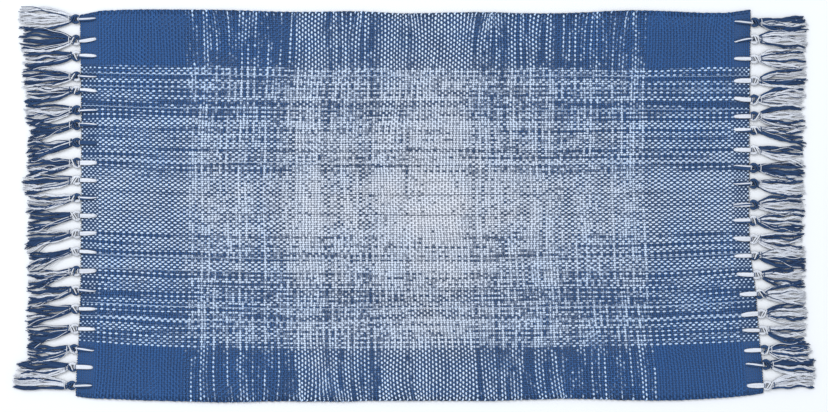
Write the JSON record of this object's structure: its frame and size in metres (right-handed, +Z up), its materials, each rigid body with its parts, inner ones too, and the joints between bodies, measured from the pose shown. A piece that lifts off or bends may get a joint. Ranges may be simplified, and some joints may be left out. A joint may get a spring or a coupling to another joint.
{
  "type": "dhurrie rug",
  "caption": "Flat hand-woven cotton rug with a shaded blue and off-white plaid, plain blue corners, and blue and off-white yarn tassels looped through both ends.",
  "frame": {"origin": "middle of the rug's underside, on the floor it lies on", "axes": "+X along the rug from one fringed end to the other, +Y across it to the back edge, +Z up from the floor"},
  "size_m": [1.0932, 0.5382, 0.007],
  "materials": {
    "cloth": "plain-woven cotton yarn, matt",
    "tassel_yarn": "loose cotton yarn, matt"
  },
  "bodies": {
    "root": {"cloth": "cloth", "tassel_left_01": "tassel_yarn", "tassel_left_02": "tassel_yarn", "tassel_left_03": "tassel_yarn", "tassel_left_04": "tassel_yarn", "tassel_left_05": "tassel_yarn", "tassel_left_06": "tassel_yarn", "tassel_left_07": "tassel_yarn", "tassel_left_08": "tassel_yarn", "tassel_left_09": "tassel_yarn", "tassel_left_10": "tassel_yarn", "tassel_left_11": "tassel_yarn", "tassel_left_12": "tassel_yarn", "tassel_left_13": "tassel_yarn", "tassel_left_14": "tassel_yarn", "tassel_left_15": "tassel_yarn", "tassel_left_16": "tassel_yarn", "tassel_left_17": "tassel_yarn", "tassel_left_18": "tassel_yarn", "tassel_left_19": "tassel_yarn", "tassel_left_20": "tassel_yarn", "tassel_left_21": "tassel_yarn", "tassel_right_01": "tassel_yarn", "tassel_right_02": "tassel_yarn", "tassel_right_03": "tassel_yarn", "tassel_right_04": "tassel_yarn", "tassel_right_05": "tassel_yarn", "tassel_right_06": "tassel_yarn", "tassel_right_07": "tassel_yarn", "tassel_right_08": "tassel_yarn", "tassel_right_09": "tassel_yarn", "tassel_right_10": "tassel_yarn", "tassel_right_11": "tassel_yarn", "tassel_right_12": "tassel_yarn", "tassel_right_13": "tassel_yarn", "tassel_right_14": "tassel_yarn", "tassel_right_15": "tassel_yarn", "tassel_right_16": "tassel_yarn", "tassel_right_17": "tassel_yarn", "tassel_right_18": "tassel_yarn", "tassel_right_19": "tassel_yarn", "tassel_right_20": "tassel_yarn", "tassel_right_21": "tassel_yarn"}
  },
  "joints": []
}
